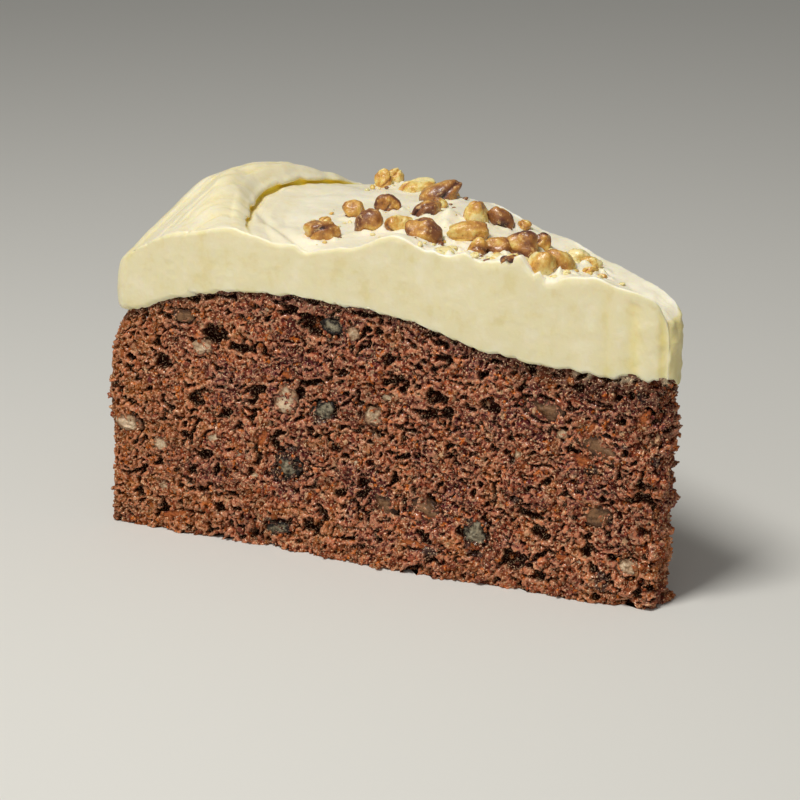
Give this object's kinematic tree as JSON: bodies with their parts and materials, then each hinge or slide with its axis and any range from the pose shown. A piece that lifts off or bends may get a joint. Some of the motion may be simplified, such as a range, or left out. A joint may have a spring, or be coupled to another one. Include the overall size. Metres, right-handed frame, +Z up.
{
  "type": "carrot cake slice",
  "caption": "Wedge of carrot cake: a crumbly spiced sponge with fruit and nuts in its cut, and one layer of swirled cream cheese frosting with chopped nuts on top.",
  "frame": {"origin": "on the floor, under the middle of the slice's bounding box", "axes": "+X runs along the slice from its curved rim to its blunt tip, the front cut faces -Y, +Z is up"},
  "size_m": [0.1158, 0.0704, 0.0676],
  "materials": {
    "sponge": "moist open crumb, orange-brown to purple-brown, with darker pits and a darker baked top",
    "frosting": "soft cream cheese frosting, pale yellow, satin, smooth where it was cut",
    "nuts": "roasted chopped nuts, golden to dark brown",
    "fruit": "raisins, sultanas and carrot shreds in the cut, moist"
  },
  "bodies": {
    "root": {"sponge": "sponge", "frosting": "frosting"}
  },
  "joints": []
}
